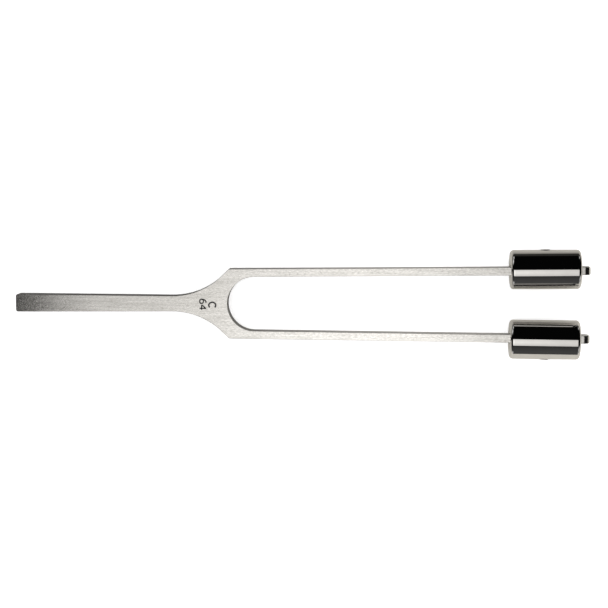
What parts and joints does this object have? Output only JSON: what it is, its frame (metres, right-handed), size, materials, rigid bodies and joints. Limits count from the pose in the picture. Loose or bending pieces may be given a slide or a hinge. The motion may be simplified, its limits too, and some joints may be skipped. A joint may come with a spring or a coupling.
{
  "type": "weighted tuning fork",
  "caption": "Low-pitch tuning fork of flat steel bar, with a polished cylindrical weight clamped near the tip of each splayed tine by a slotted set screw.",
  "frame": {"origin": "middle of the end face of the stem's foot", "axes": "+X along the fork's axis from the foot to the tine tips, +Y towards the left tine, +Z square to the flat of the fork"},
  "size_m": [0.215, 0.0412, 0.0148],
  "materials": {
    "fork_steel": "satin, fine grain along the bar",
    "weight_polish": "mirror polished",
    "screw_steel": "bright turned"
  },
  "bodies": {
    "fork": {"stem_and_yoke": "fork_steel"},
    "tine_left": {"tine_left": "fork_steel"},
    "tine_right": {"tine_right": "fork_steel"},
    "weight_left": {"weight_left": "weight_polish"},
    "weight_right": {"weight_right": "weight_polish"},
    "set_screw_left": {"set_screw_left": "screw_steel"},
    "set_screw_right": {"set_screw_right": "screw_steel"}
  },
  "joints": [
    {"name": "tine_left_flex", "type": "hinge", "parent": "fork", "child": "tine_left", "pos_m": [0.0938, 0.0117, 0], "axis": [0, 0, 1], "range_deg": [-2.5, 2.5], "stiffness_Nm_per_rad": 66.9},
    {"name": "tine_right_flex", "type": "hinge", "parent": "fork", "child": "tine_right", "pos_m": [0.0938, -0.0117, 0], "axis": [0, 0, 1], "range_deg": [-2.5, 2.5], "stiffness_Nm_per_rad": 66.9},
    {"name": "weight_left_slide", "type": "slide", "parent": "tine_left", "child": "weight_left", "axis": [1, 0.0091, 0], "range_m": [-0.0912, 0.013]},
    {"name": "weight_right_slide", "type": "slide", "parent": "tine_right", "child": "weight_right", "axis": [1, -0.0091, 0], "range_m": [-0.0912, 0.013]},
    {"name": "set_screw_left_turn", "type": "hinge", "parent": "weight_left", "child": "set_screw_left", "pos_m": [0.1983, 0.01265, 0], "axis": [-0.0091, 1, 0], "range_deg": [0, 720]},
    {"name": "set_screw_right_turn", "type": "hinge", "parent": "weight_right", "child": "set_screw_right", "pos_m": [0.1983, -0.01265, 0], "axis": [-0.0091, -1, 0], "range_deg": [0, 720]}
  ],
  "couplings": [
    {"joint": "tine_right_flex", "follows": "tine_left_flex", "ratio": -1}
  ]
}
